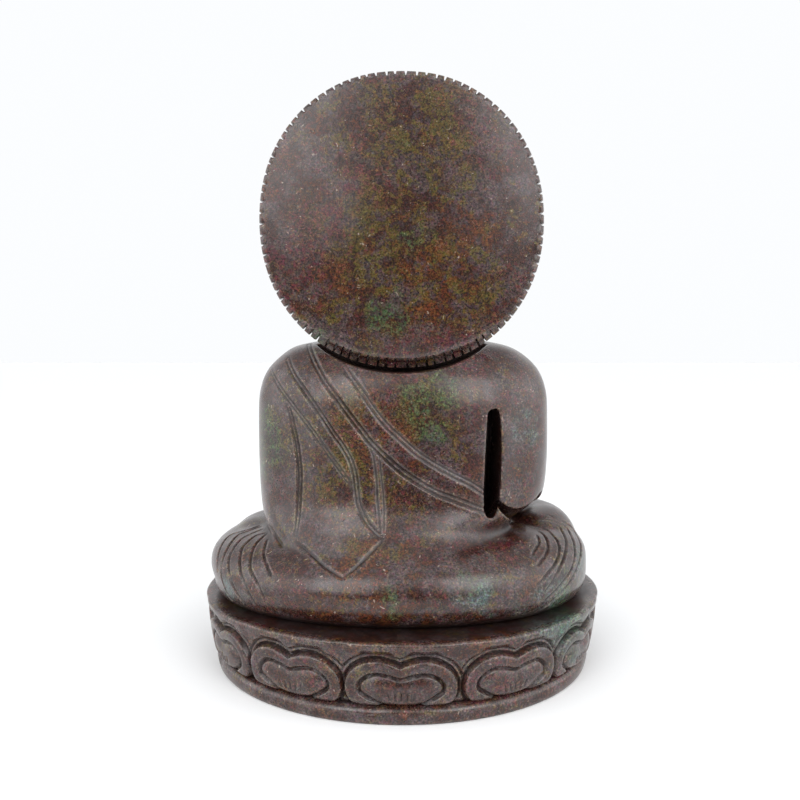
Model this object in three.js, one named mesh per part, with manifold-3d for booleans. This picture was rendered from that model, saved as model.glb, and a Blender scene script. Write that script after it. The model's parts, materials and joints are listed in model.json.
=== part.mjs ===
// A seated figure on a lotus base, carved from one block of mottled stone.
// The figure sits cross-legged in a robe that leaves its right shoulder bare, with its hands
// in its lap. A round halo with a notched rim stands close behind its head.
// Millimetres, +Z up. The face looks towards -Y, and the origin is the middle of the underside.

import * as THREE from 'three';
import { mergeVertices } from 'three/addons/utils/BufferGeometryUtils.js';
import Module from 'manifold-3d';

const wasm = await Module();
wasm.setup();

// The oval lotus base: half width and half depth at rim and foot, and the heights of its bands
const BASE_HALF = 80.7;
const BASE_DEPTH = 67.3;
const FOOT_HALF = 75;
const FOOT_DEPTH = 65.4;
const BASE_HEIGHT = 27.7;
const RING_HEIGHT = 6.3;
const BAND_BOTTOM = 23;
const PETALS = 12;
const PETAL_COLUMNS = 8;
const PLAIN_COLUMNS = 42;
const PETAL_BOSS = 2.4;
const PETAL_BORDER = 1.9;
const PETAL_LEVELS = [0.02, 0.45, 0.67, 0.84, 1];
const PETAL_SUNK = 1.6;
const PETAL_EDGE = 1.1;
const OVERLAP = 0.6;

// The halo, an upright disc behind the head
const HALO_HALF = 54.7;
const HALO_TALL = 57.2;
const HALO_SHIFT = 0.2;
const HALO_CENTRE = 174.9;
const HALO_FRONT = 21.5;
const HALO_BACK = 28.5;
const HALO_DOME = 3;
const HALO_EXPONENT = 2.1;
const HALO_SIDES = 40;
const NOTCHES = 96;
const NOTCH_DEPTH = 1.2;
const NOTCH_HALF = 0.88;
const BEVEL_DROP = 2;
const BEVEL_INSET = 0.045;
const GAP = 2;
const GAP_DEPTH = 9;
const GAP_SPAN = 1.05;
const GAP_STEPS = 16;

// Sections of the body: height, half width, depth to the back, depth to the front, side shift.
// The mantle is the back with both arms in it, and the chest is what shows between the arms.
const LAP = [
  [27.2, 71, 52, 47, 1],
  [30, 74.8, 56.5, 50, 1.2],
  [34.5, 76, 59.5, 52, 0.8],
  [40, 76.8, 60, 52, 1.4],
  [45.5, 75.6, 58, 48, 0.8],
  [50, 70, 54, 42, -0.5],
  [53, 61, 49, 34, -2],
  [55, 46, 43, 26, -2],
];
const MANTLE = [
  [41, 50, 59, 24, 0.5],
  [47, 49.5, 55, 22, 2.5],
  [53, 48.5, 50.5, 19, 5],
  [58, 50.5, 46.5, 16, 5.5],
  [62, 54.5, 44.3, 14, 2.5],
  [67, 57.6, 42, 13, 0.2],
  [80, 59, 40.2, 13, -0.4],
  [98, 59.3, 38.8, 15, -0.4],
  [108, 58.8, 37.6, 15, -0.4],
  [116, 56, 34.5, 13, -0.4],
  [122, 50.5, 30, 11, -0.4],
  [126, 44, 25, 10, 0],
  [128.2, 34, 19, 8, 0],
];
const CHEST = [
  [44, 40, 20, 28, 0],
  [58, 35, 20, 25.5, 0],
  [72, 33, 20, 23.5, 0],
  [86, 35, 20, 25, 0],
  [98, 38, 20, 26.5, 0],
  [108, 38, 18, 25.5, 0],
  [117, 33, 15, 21, 0],
  [125, 22, 11, 14, 0],
];
const LAP_EXPONENT = 2.15;
const MANTLE_EXPONENT = 2.6;
const CHEST_EXPONENT = 2.3;
const HAND = 55.5;
const HAND_DROP = 4.5;
const RIGHT_LEG_RISE = 4.5;

// The head: its centre, half width, half depth and half height, and the knot of hair on it
const HEAD = new THREE.Vector3(0, 0, 164);
const HEAD_HALF = 21;
const HEAD_DEPTH = 24;
const HEAD_TALL = 26.5;
const KNOT = new THREE.Vector3(0, 3, 191);
const KNOT_HALF = 10;
const KNOT_TALL = 11;
const KNOT_SIDES = 12;
const KNOT_LEVELS = 11;
const CURL = 1.3;
const HAIRLINE = 11;
const HEAD_EXPONENT = 2.2;
const HEAD_ROUND = 0.86;
const JAW_TAPER = 0.16;
const FRONT_CROWDING = 0.55;
const HEAD_SIDES = 26;
const FACE_LEVELS = 14;
const HAIR_LEVELS = 6;

// Grooves in the robe: their half width and depth
const FOLD_HALF = 0.8;
const FOLD_DEPTH = 1.1;
const FLARE = 2.4;
const PLEATS = 5;

// A value eased from 0 at one limit to 1 at the other
function ease(from, to, value) {
  const t = THREE.MathUtils.clamp((value - from) / (to - from), 0, 1);
  return t * t * (3 - 2 * t);
}

// A bell curve of height one, centred on zero
function bell(value, width) {
  return Math.exp(-((value / width) ** 2));
}

// A smooth curve through rows of numbers, at 0 for the first row and 1 for the last
function along(rows, t) {
  const place = t * (rows.length - 1);
  const i = Math.min(Math.floor(place), rows.length - 2);
  const f = place - i;
  const at = (n) => rows[Math.min(Math.max(n, 0), rows.length - 1)];
  return rows[i].map((_, k) => {
    const [a, b, c, d] = [at(i - 1)[k], at(i)[k], at(i + 1)[k], at(i + 2)[k]];
    return b + 0.5 * f * (c - a + f * (2 * a - 5 * b + 4 * c - d + f * (3 * (b - c) + d - a)));
  });
}

// A closed skin over rings of points, each ring anticlockwise as seen from the last one
function skin(rings) {
  const count = rings[0].length;
  const middle = (ring) => ring.reduce((sum, p) => sum.add(p), new THREE.Vector3()).divideScalar(count);
  const points = [...rings.flat(), middle(rings[0]), middle(rings.at(-1))];
  const first = rings.length * count;
  const index = [];
  for (let i = 0; i < count; i++) {
    const next = (i + 1) % count;
    for (let j = 0; j < rings.length - 1; j++) {
      const low = j * count;
      const high = low + count;
      index.push(low + i, low + next, high + next, low + i, high + next, high + i);
    }
    const last = first - count;
    index.push(first, next, i, first + 1, last + i, last + next);
  }
  const geometry = new THREE.BufferGeometry().setFromPoints(points);
  geometry.setIndex(index);
  return geometry;
}

// A manifold solid from a closed geometry
function solid(geometry) {
  const bare = geometry.clone();
  bare.deleteAttribute('normal');
  bare.deleteAttribute('uv');
  const merged = mergeVertices(bare, 1e-5);
  const vertProperties = Float32Array.from(merged.attributes.position.array);
  const triVerts = Uint32Array.from(merged.index.array);
  return new wasm.Manifold(new wasm.Mesh({ numProp: 3, vertProperties, triVerts }));
}

// A three.js geometry from a manifold solid
function geometryOf(manifold) {
  const mesh = manifold.getMesh();
  const geometry = new THREE.BufferGeometry();
  geometry.setAttribute('position', new THREE.BufferAttribute(Float32Array.from(mesh.vertProperties), 3));
  geometry.setIndex(new THREE.BufferAttribute(Uint32Array.from(mesh.triVerts), 1));
  return geometry;
}

// One solid from several that overlap
function join(parts) {
  return parts.reduce((sum, part) => sum.add(part));
}

// A point on a rounded square of the given exponent, one unit from middle to side
function oval(angle, exponent) {
  const c = Math.cos(angle);
  const s = Math.sin(angle);
  return [Math.sign(c) * Math.abs(c) ** (2 / exponent), Math.sign(s) * Math.abs(s) ** (2 / exponent)];
}

// A body built up from level sections
function stack(rows, sides, levels, exponent) {
  const rings = [];
  for (let j = 0; j <= levels; j++) {
    const [z, half, back, front, shift] = along(rows, j / levels);
    const ring = [];
    for (let i = 0; i < sides; i++) {
      const [x, y] = oval((i / sides) * 2 * Math.PI, exponent);
      ring.push(new THREE.Vector3(shift + half * x, y * (y > 0 ? back : front), z));
    }
    rings.push(ring);
  }
  return solid(skin(rings));
}

// A rounded limb through stations of x, y, z, half width and half thickness
function limb(stations, sides, steps) {
  const path = new THREE.CatmullRomCurve3(stations.map(([x, y, z]) => new THREE.Vector3(x, y, z)));
  const up = new THREE.Vector3(0, 1, 0.3).normalize();
  const rings = [];
  for (let j = 0; j <= steps; j++) {
    const t = j / steps;
    const centre = path.getPoint(t);
    const ahead = path.getTangent(t);
    const side = new THREE.Vector3().crossVectors(up, ahead).normalize();
    const out = new THREE.Vector3().crossVectors(ahead, side);
    const [, , , half, thick] = along(stations, t);
    const cap = Math.sqrt(Math.max(1 - (2 * t - 1) ** 12, 0.05));
    const ring = [];
    for (let i = 0; i < sides; i++) {
      const angle = (i / sides) * 2 * Math.PI;
      const across = side.clone().multiplyScalar(half * cap * Math.cos(angle));
      ring.push(out.clone().multiplyScalar(thick * cap * Math.sin(angle)).add(across).add(centre));
    }
    rings.push(ring);
  }
  return solid(skin(rings));
}

// How far a petal stands out: u runs across it from -1 to 1, and level from its foot to its edge
function petalRelief(u, level) {
  const q = (Math.abs(u) ** 4 + level ** 4) ** 0.25;
  const boss = PETAL_BOSS * (1 - ease(0.3, 0.62, q));
  const border = PETAL_BORDER * bell(q - 0.84, 0.12);
  return boss + border - PETAL_EDGE * ease(0.93, 1, q);
}

// The outline of a petal: two lobes, a notch between them, and sides that fall to its foot
function petalTop(u) {
  return (1 - Math.abs(u) ** 3.4) ** 0.5 - 0.16 * bell(u, 0.17);
}

// A ring of the base. For each place across a petal it has a height, and how far it stands
// proud of the wall that leans out from foot to rim.
function baseRing(columns, place) {
  const ring = [];
  for (let i = 0; i < columns; i++) {
    const across = ((((i / columns) * PETALS + 0.5) % 1) - 0.5) * 2;
    const angle = Math.PI / 2 + (i / columns) * 2 * Math.PI;
    const [proud, z] = place(across);
    const lean = z / BASE_HEIGHT;
    const x = (FOOT_HALF + (BASE_HALF - FOOT_HALF) * lean + proud) * Math.cos(angle);
    const y = (FOOT_DEPTH + (BASE_DEPTH - FOOT_DEPTH) * lean + proud) * Math.sin(angle);
    ring.push(new THREE.Vector3(x, y, z));
  }
  return ring;
}

// A plain moulding of the base from rows of height and how far it stands proud
function moulding(rows) {
  return solid(skin(rows.map(([z, proud]) => baseRing(PLAIN_COLUMNS, () => [proud, z]))));
}

// The lotus base: a plain ring, a row of two-lobed petals, and a plain band with a soft edge
function lotusBase() {
  const petalHeight = BAND_BOTTOM - RING_HEIGHT - OVERLAP;
  const petalRow = (share) => baseRing(PETALS * PETAL_COLUMNS, (across) => [
    petalRelief(across, share) - PETAL_SUNK,
    RING_HEIGHT + petalHeight * share * Math.max(petalTop(across), 0.04),
  ]);
  const petals = [
    baseRing(PETALS * PETAL_COLUMNS, () => [-PETAL_SUNK - 0.4, RING_HEIGHT - OVERLAP]),
    ...PETAL_LEVELS.map(petalRow),
    baseRing(PETALS * PETAL_COLUMNS, () => [-PETAL_SUNK - 1, BAND_BOTTOM + OVERLAP]),
  ];
  return [
    moulding([[0, -0.6], [1.2, 0], [RING_HEIGHT - 0.9, -0.2], [RING_HEIGHT, -1.2]]),
    solid(skin(petals)),
    moulding([[BAND_BOTTOM, -1.4], [BAND_BOTTOM + 0.8, -0.4], [BASE_HEIGHT - 1.2, 0], [BASE_HEIGHT, -1.4]]),
  ];
}

// A place on the halo, by turn round it, share of its radius and depth
function haloPoint(angle, share, y) {
  const [c, s] = oval(angle, HALO_EXPONENT);
  return new THREE.Vector3(HALO_SHIFT + HALO_HALF * share * c, y, HALO_CENTRE + HALO_TALL * share * s);
}

// The halo: a disc with a softly domed back, bevelled below, with a notched rim
function halo() {
  const profile = [
    [0.84, HALO_FRONT, 0],
    [0.87, HALO_FRONT + 0.9, 0],
    [1, HALO_FRONT + 0.9, 0],
    [1, HALO_BACK - 0.6, BEVEL_DROP],
    [0.972, HALO_BACK, 0],
    [0.72, HALO_BACK + 0.6 * HALO_DOME, 0],
    [0.36, HALO_BACK + HALO_DOME, 0],
  ];
  const rings = profile.map(([share, y, sunk]) => {
    const ring = [];
    for (let i = 0; i < HALO_SIDES; i++) {
      const angle = -((i + 0.5) / HALO_SIDES) * 2 * Math.PI;
      const bevel = ease(0.62, 0.95, -Math.sin(angle));
      const inner = share < 1 && share > 0.9 ? BEVEL_INSET * bevel : 0;
      ring.push(haloPoint(angle, share - inner, y - sunk * bevel));
    }
    return ring;
  });
  const cutters = [];
  for (let n = 0; n < NOTCHES; n++) {
    const angle = ((n + 0.5) / NOTCHES) * 2 * Math.PI;
    const half = NOTCH_HALF / HALO_HALF;
    const inner = 1 - NOTCH_DEPTH / HALO_HALF;
    const wedge = (y) => [
      haloPoint(angle, inner, y), haloPoint(angle - half, 1.02, y), haloPoint(angle + half, 1.02, y),
    ];
    cutters.push(solid(skin([wedge(HALO_BACK + HALO_DOME), wedge(HALO_FRONT - 1)])));
  }
  return cutters.reduce((disc, cutter) => disc.subtract(cutter), solid(skin(rings)));
}

// The deep cut that frees the lower rim of the halo from the back
function rimGap() {
  const rings = [];
  const outside = HALO_BACK + HALO_DOME + GAP_DEPTH;
  const inside = HALO_FRONT - 3.5;
  for (let j = 0; j <= GAP_STEPS; j++) {
    const angle = -Math.PI / 2 + GAP_SPAN * ((2 * j) / GAP_STEPS - 1);
    const at = (grow, y) => haloPoint(angle, 1 + grow / HALO_HALF, y);
    rings.push([at(-GAP_DEPTH, outside), at(-GAP_DEPTH, inside), at(GAP, inside), at(GAP, outside)]);
  }
  return solid(skin(rings));
}

// How far the face stands out from the plain egg of the head, by place across and height
function faceRelief(x, z) {
  const side = Math.abs(x);
  const nose = 4.4 * bell(x, 2.7) * ease(8, -5, z) * ease(-8.5, -6, z);
  const bridge = 1.6 * bell(x, 2.2) * bell(z - 4, 5);
  const brow = 1.2 * bell(side - 7, 5.5) * bell(z - 6.6, 2.2);
  const socket = -2 * bell(side - 7.2, 4) * bell(z - 2.4, 2.6);
  const lid = 1.9 * bell(side - 7.2, 3.6) * bell(z - 0.4, 1.9);
  const lips = 1.8 * bell(x, 4.6) * (bell(z + 11.4, 1.4) + bell(z + 14.2, 1.4));
  const chin = 2 * bell(x, 5) * bell(z + 20, 3);
  const cheek = 1 * bell(side - 10, 5) * bell(z + 8, 6);
  return nose + bridge + brow + socket + lid + lips + chin + cheek;
}

// Snail curls: every second place of every second row stands out
function curl(row, column) {
  return row % 2 && (column + (row - 1) / 2) % 2 ? CURL : 0;
}

// A place on the head, by turn about its axis and height above its centre. The turns lie closer
// together at the face than at the back.
function headPoint(turn, z, proud) {
  const [c, s] = oval(turn - FRONT_CROWDING * Math.cos(turn), HEAD_EXPONENT);
  const round = Math.sqrt(1 - (z / HEAD_TALL) ** 2) ** HEAD_ROUND;
  const jaw = 1 - JAW_TAPER * ease(0, -0.9 * HEAD_TALL, z);
  const front = s < 0 ? ease(0.25, 0.8, -s) * ease(HAIRLINE + 1, HAIRLINE - 2, z) : 0;
  return new THREE.Vector3(
    (HEAD_HALF * jaw * round + proud) * c,
    (HEAD_DEPTH * round + proud) * s - front * faceRelief(HEAD_HALF * jaw * round * c, z),
    z + 0.5 * proud,
  ).add(HEAD);
}

// The head with its face, below the cap of curled hair
function head() {
  const rings = [];
  for (let j = 1; j <= FACE_LEVELS + HAIR_LEVELS; j++) {
    const hair = j > FACE_LEVELS;
    const low = -HEAD_TALL * Math.cos((0.62 * Math.PI * j) / FACE_LEVELS);
    const high = HAIRLINE + ((HEAD_TALL - HAIRLINE) * (j - FACE_LEVELS)) / (HAIR_LEVELS + 0.6);
    const ring = [];
    for (let i = 0; i < HEAD_SIDES; i++) {
      ring.push(headPoint((i / HEAD_SIDES) * 2 * Math.PI, hair ? high : low, hair ? curl(j, i) : 0));
    }
    rings.push(ring);
  }
  return solid(skin(rings));
}

// The knot of hair on the crown, with the same curls
function knot() {
  const rings = [];
  for (let j = 3; j < KNOT_LEVELS; j++) {
    const tilt = Math.PI * (j / KNOT_LEVELS - 0.5);
    const ring = [];
    for (let i = 0; i < KNOT_SIDES; i++) {
      const turn = (i / KNOT_SIDES) * 2 * Math.PI;
      const wide = KNOT_HALF * Math.cos(tilt) + curl(j, i);
      const z = KNOT_TALL * Math.sin(tilt);
      ring.push(new THREE.Vector3(wide * Math.cos(turn), wide * Math.sin(turn), z).add(KNOT));
    }
    rings.push(ring);
  }
  return solid(skin(rings));
}

// A small egg with half sizes, on a place
function egg(place, half, deep, tall, sides, levels) {
  const rings = [];
  for (let j = 1; j < levels; j++) {
    const tilt = Math.PI * (j / levels - 0.5);
    const wide = Math.cos(tilt);
    const ring = [];
    for (let i = 0; i < sides; i++) {
      const turn = (i / sides) * 2 * Math.PI;
      const [x, y, z] = [half * wide * Math.cos(turn), deep * wide * Math.sin(turn), tall * Math.sin(tilt)];
      ring.push(new THREE.Vector3(x, y, z).add(place));
    }
    rings.push(ring);
  }
  return solid(skin(rings));
}

// The long ears
function ears() {
  return [-1, 1].map((side) => limb([
    [side * 20.6, 1, 170, 2.6, 4],
    [side * 21.6, 2, 163, 2.6, 3.8],
    [side * 20.4, 1.5, 154, 2, 2.6],
    [side * 18.8, 0, 144, 2.3, 3],
  ], 7, 6));
}

// The seated body: lap, back, chest, arms, legs, neck and hands. The right leg lies on the left
// one, so its knee is the higher.
function body() {
  const arm = (side, low) => limb([
    [side * 45, 3, 112, 11, 12],
    [side * 47.5, 3, 104, 11.2, 13],
    [side * 48.4, 4, 90, 10.6, 12.5],
    [side * 48.4, 5, 76, 10, 12],
    [side * 47.6, 5, low, 8.5, 10],
  ], 10, 6);
  const forearm = (side) => limb([
    [side * 48, 4, 67, 8.5, 8.5],
    [side * 43, -10, 61.5, 8.2, 8.4],
    [side * 31, -25, 56.5, 7.4, 7],
    [side * 14, -33, 54, 5.6, 5.6],
  ], 9, 6);
  const leg = (side, rise) => limb([
    [side * 50, 16, 40 + rise, 13, 13],
    [side * 59.5, -6, 40 + rise, 14.5, 14.5],
    [side * 47, -31, 39 + rise, 13.5, 13],
    [side * 18, -45, 38 + rise, 11.5, 11],
    [side * -14, -49, 37, 9, 9],
  ], 11, 8);
  const hand = (side, z) => limb([
    [side * 21, -31, z + 1, 3.6, 5.5],
    [side * 9, -36, z, 3.8, 7.6],
    [side * -5, -38, z, 3.2, 7.4],
    [side * -15, -37, z + 0.6, 2.2, 5],
  ], 9, 5);
  const thumbs = limb([
    [13, -37, HAND + 3, 2.2, 2.4],
    [7, -40, HAND + 6.5, 2, 2.2],
    [0, -41, HAND + 8, 1.8, 2],
    [-7, -40, HAND + 6.5, 2, 2.2],
    [-13, -37, HAND + 3, 2.2, 2.4],
  ], 6, 8);
  return [
    stack(LAP, 28, LAP.length - 1, LAP_EXPONENT),
    stack(MANTLE, 26, MANTLE.length - 1, MANTLE_EXPONENT),
    stack(CHEST, 18, 5, CHEST_EXPONENT),
    arm(-1, 66),
    arm(1, 58),
    forearm(-1),
    forearm(1),
    leg(1, 0),
    leg(-1, RIGHT_LEG_RISE),
    egg(new THREE.Vector3(0, 1, 136), 12.5, 13, 17, 12, 6),
    hand(-1, HAND),
    hand(1, HAND - HAND_DROP),
    thumbs,
  ];
}

// A tapered groove cut along a line of places (x, z) laid square onto the surface of a model.
// The side is 1 for the back and -1 for the front.
function groove(model, places, side, steps, half = FOLD_HALF, depth = FOLD_DEPTH) {
  const line = new THREE.SplineCurve(places.map(([x, z]) => new THREE.Vector2(x, z)));
  const ray = new THREE.Raycaster();
  const away = new THREE.Vector3(0, -side, 0);
  const hits = line.getSpacedPoints(steps).map((p) => {
    ray.set(new THREE.Vector3(p.x, side * 200, p.y), away);
    return ray.intersectObject(model)[0];
  }).filter((hit) => hit);
  const rings = hits.map((hit, j) => {
    const t = j / (hits.length - 1);
    const size = Math.max(Math.sin(Math.PI * t) ** 0.4, 0.12);
    const before = hits[Math.max(j - 1, 0)].point;
    const after = hits[Math.min(j + 1, hits.length - 1)].point;
    const ahead = after.clone().sub(before).normalize();
    const out = hit.face.normal.clone();
    const across = new THREE.Vector3().crossVectors(out, ahead).normalize();
    out.crossVectors(ahead, across);
    const at = (sideways, up) => hit.point.clone()
      .addScaledVector(across, sideways).addScaledVector(out, up);
    const rim = FLARE * half * size;
    const above = (FLARE - 1) * depth;
    return [at(-rim, above), at(0, -depth * size), at(rim, above)];
  });
  return solid(skin(rings));
}

// The robe's hem and folds across the back, over the left shoulder and down to the seat
const BACK_FOLDS = [
  [[38.5, 126.2], [30, 116.5], [22, 105.5], [13, 91.5], [7, 86], [-4, 77.5], [-15, 71.5], [-30.5, 66]],
  [[22.5, 118], [15, 108], [4, 96], [-4, 88], [-12, 82.5], [-23, 77], [-30.5, 73]],
  [[45, 122.5], [42.5, 116.5], [34, 105.5], [26, 94.5], [20.5, 84], [17.2, 75], [16.4, 67], [11, 61]],
  [[50, 115.5], [44, 107.5], [35.5, 97], [27, 86], [19.5, 76.5]],
  [[42.9, 103], [40.5, 94], [38.6, 83], [38, 73], [38.5, 64], [39, 56.5]],
  [[11.4, 90], [9.9, 81], [9.5, 73], [9, 62]],
  [[39, 55], [30, 50], [20.5, 46.3], [13, 51.5], [7.5, 57]],
];

// The robe's hem across the chest, and a fold below it
const FRONT_FOLDS = [
  [[30, 124], [18, 112], [2, 98], [-14, 84], [-28, 72]],
  [[36, 120], [26, 106], [12, 90], [0, 78]],
];

// Pleats that fan from beside the hip over each knee, and curve back in towards the seat
function pleatLines(side) {
  const lines = [];
  for (let n = 0; n < PLEATS; n++) {
    const t = n / (PLEATS - 1);
    const reach = 50 + 18.5 * t ** 0.85;
    const rise = 54.5 + 0.5 * Math.sin(Math.PI * t);
    lines.push([
      [side * (46 + 11 * t), rise - 1.5 * t],
      [side * (reach - 3), 50.5 - 0.5 * t],
      [side * reach, 44.5 - 1.5 * t],
      [side * (reach - 3.5 - t), 36],
      [side * (47 + 11 * t), 36 - 6 * Math.sqrt(t)],
    ]);
  }
  return lines;
}

// The slot between the bare right arm and the body, and the hollow under its elbow
function armSlot() {
  const slot = limb([
    [-34.1, 36, 102, 2.1, 10],
    [-34.3, 34, 96, 2.8, 20],
    [-33.8, 33, 80, 3.2, 24],
    [-33.1, 33, 69, 3, 24],
    [-32.4, 34, 62, 2, 16],
  ], 8, 7);
  const hollow = limb([
    [-34.5, 33, 69, 0.9, 12],
    [-37, 32, 65.4, 1.6, 14],
    [-41, 30, 62.6, 2, 16],
    [-46, 26, 61.8, 1.9, 16],
    [-51, 20, 63.2, 1.4, 14],
    [-55, 14, 66.4, 0.6, 9],
  ], 8, 6);
  return [slot, hollow];
}

// The whole carving: the cuts and grooves come out of the body before base, halo and head are joined
function statuette() {
  let figure = join(body());
  for (const cut of [...armSlot(), rimGap()]) {
    figure = figure.subtract(cut);
  }
  const model = new THREE.Mesh(geometryOf(figure));
  const cuts = [
    ...BACK_FOLDS.map((line) => groove(model, line, 1, line.length)),
    ...FRONT_FOLDS.map((line) => groove(model, line, -1, 5)),
    ...pleatLines(1).map((line) => groove(model, line, 1, 5)),
    ...pleatLines(-1).map((line) => groove(model, line, 1, 5)),
  ];
  for (const cut of cuts) {
    figure = figure.subtract(cut);
  }
  return join([...lotusBase(), figure, halo(), head(), knot(), ...ears()]);
}

const object = new THREE.Group();
const stone = new THREE.MeshStandardMaterial({ color: 0x5d453a, roughness: 0.42, metalness: 0 });
const mesh = new THREE.Mesh(geometryOf(statuette()), stone);
mesh.name = 'statuette';
object.add(mesh);

export default object;
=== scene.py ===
# %% [markdown]
# # A seated figure carved from one block of mottled stone
# The statuette is cut from a single block of soft, dense stone, mottled purple-brown with olive,
# orange-brown and green. A carver saws the block, roughs out base, figure and halo with rasps,
# cuts the folds and petals with small chisels, and rubs the whole with fine paper and wax.
# This lesson follows that order: big rounded forms first, then cuts, then the finish of the stone.

# %% Frame and tools
import json
import bmesh
import bpy
import numpy as np
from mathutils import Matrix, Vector
from mathutils.bvhtree import BVHTree

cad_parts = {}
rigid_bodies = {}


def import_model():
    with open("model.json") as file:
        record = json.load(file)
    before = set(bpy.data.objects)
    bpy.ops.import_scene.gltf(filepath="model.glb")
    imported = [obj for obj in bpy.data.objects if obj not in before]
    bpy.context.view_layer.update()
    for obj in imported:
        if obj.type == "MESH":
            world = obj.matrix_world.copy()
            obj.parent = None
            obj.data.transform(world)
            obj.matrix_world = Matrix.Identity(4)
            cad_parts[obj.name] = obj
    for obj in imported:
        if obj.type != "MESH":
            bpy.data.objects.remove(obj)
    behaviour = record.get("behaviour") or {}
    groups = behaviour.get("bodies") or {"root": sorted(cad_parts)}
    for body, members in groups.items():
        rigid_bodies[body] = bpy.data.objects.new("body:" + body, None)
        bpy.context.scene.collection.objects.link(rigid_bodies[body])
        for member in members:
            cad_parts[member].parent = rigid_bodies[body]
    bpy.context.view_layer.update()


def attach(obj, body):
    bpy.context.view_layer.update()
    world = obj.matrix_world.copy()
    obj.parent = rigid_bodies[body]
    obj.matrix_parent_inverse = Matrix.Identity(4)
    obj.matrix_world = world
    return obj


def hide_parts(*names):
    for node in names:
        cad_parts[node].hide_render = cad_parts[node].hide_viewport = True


for thing in list(bpy.data.objects):
    bpy.data.objects.remove(thing)
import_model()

# %% [markdown]
# ## Working in millimetres
# A carver thinks in millimetres, so the forms are worked out in millimetres, and the finished
# mesh is scaled once. Two curves do most of the shaping: an ease from 0 to 1, and a bell.

# %% Curves that shape the stone
MM = 0.001


def ease(low, high, value):
    """Rises from 0 at low to 1 at high as 3 t squared minus 2 t cubed, t being the share of the way."""
    t = np.clip((value - low) / (high - low), 0.0, 1.0)
    return t * t * (3 - 2 * t)


def bell(value, width):
    """A hill of height 1 at zero: e to the minus (value over width) squared."""
    return np.exp(-((value / width) ** 2))


def along(rows, t):
    """A smooth curve through rows of numbers (Catmull-Rom), for shares t of the way from 0 to 1."""
    rows = np.asarray(rows, dtype=float)
    place = np.clip(t, 0, 1) * (len(rows) - 1)
    i = np.minimum(place.astype(int), len(rows) - 2)
    f = (place - i)[:, None]
    a, b, c, d = (rows[np.clip(i + k, 0, len(rows) - 1)] for k in (-1, 0, 1, 2))
    return b + 0.5 * f * (c - a + f * (2 * a - 5 * b + 4 * c - d + f * (3 * (b - c) + d - a)))


def unit(vectors):
    """Vectors divided by their own length."""
    return vectors / np.linalg.norm(vectors, axis=-1, keepdims=True)


def oval(angle, exponent):
    """A rounded square: cosine and sine, each raised to 2 over the exponent, keeping their signs."""
    c, s = np.cos(angle), np.sin(angle)
    power = 2 / exponent
    return np.sign(c) * np.abs(c) ** power, np.sign(s) * np.abs(s) ** power


def turns(count):
    """Angles once round a circle."""
    return np.arange(count) / count * 2 * np.pi


# %% [markdown]
# ## Skins over rings of points
# Every form here is a stack of rings. A skin joins each ring to the next with four-sided faces
# and closes both ends with a fan, so that the form has no hole and its faces look outwards.

# %% Skins and meshes
def skin(grid):
    """Points, four-sided faces and end fans of a closed surface over a grid of rings (rows, columns, 3)."""
    rows, columns, _ = grid.shape
    index = np.arange(rows * columns).reshape(rows, columns)
    right = np.roll(index, -1, axis=1)
    quads = np.stack([index[:-1], right[:-1], right[1:], index[1:]], axis=-1).reshape(-1, 4)
    low = np.full(columns, rows * columns)
    fans = np.concatenate([
        np.stack([low, right[0], index[0]], axis=-1),
        np.stack([low + 1, index[-1], right[-1]], axis=-1),
    ])
    points = np.concatenate([grid.reshape(-1, 3), grid[:1].mean(axis=1), grid[-1:].mean(axis=1)])
    return points, quads, fans


def mesh_object(name, shells):
    """One object from several closed skins, their faces filled in as whole arrays."""
    starts = np.cumsum([0] + [len(points) for points, _, _ in shells[:-1]])
    points = np.concatenate([points for points, _, _ in shells])
    quads = np.concatenate([quads + start for (_, quads, _), start in zip(shells, starts)])
    fans = np.concatenate([fans + start for (_, _, fans), start in zip(shells, starts)])
    mesh = bpy.data.meshes.new(name)
    mesh.vertices.add(len(points))
    mesh.vertices.foreach_set("co", points.astype(np.float32).ravel())
    corners = np.concatenate([quads.ravel(), fans.ravel()])
    mesh.loops.add(len(corners))
    mesh.loops.foreach_set("vertex_index", corners.astype(np.int32))
    first = np.concatenate([4 * np.arange(len(quads)), 4 * len(quads) + 3 * np.arange(len(fans))])
    mesh.polygons.add(len(first))
    mesh.polygons.foreach_set("loop_start", first.astype(np.int32))
    mesh.update(calc_edges=True)
    thing = bpy.data.objects.new(name, mesh)
    bpy.context.scene.collection.objects.link(thing)
    return thing


def settle(thing):
    """Replaces an object's mesh with the one that its modifiers make."""
    graph = bpy.context.evaluated_depsgraph_get()
    made = bpy.data.meshes.new_from_object(thing.evaluated_get(graph))
    thing.modifiers.clear()
    old, thing.data = thing.data, made
    bpy.data.meshes.remove(old)
    return thing


def fuse(thing, voxel, rounds):
    """Melts overlapping skins into one by small cubes of the given size, then softens the steps."""
    cubes = thing.modifiers.new("cubes", "REMESH")
    cubes.mode = "VOXEL"
    cubes.voxel_size = voxel
    soften = thing.modifiers.new("soften", "SMOOTH")
    soften.factor = 0.5
    soften.iterations = rounds
    return settle(thing)


def combine(thing, other, how):
    """Joins or cuts one closed mesh with another, and takes the other away."""
    cut = thing.modifiers.new(how.lower(), "BOOLEAN")
    cut.operation = how
    cut.solver = "MANIFOLD"
    cut.object = other
    settle(thing)
    bpy.data.objects.remove(other)
    return thing


def read(items, name, kind=np.int32, width=1):
    """One property of all points, edges, corners or faces of a mesh, as an array."""
    values = np.empty(width * len(items), dtype=kind)
    items.foreach_get(name, values)
    return values.reshape(-1, width) if width > 1 else values


def places(mesh):
    """The mesh's points as an array."""
    return read(mesh.vertices, "co", np.float32, 3).astype(float)


def directions(mesh):
    """The outward direction at each point."""
    return read(mesh.vertices, "normal", np.float32, 3).astype(float)


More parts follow.
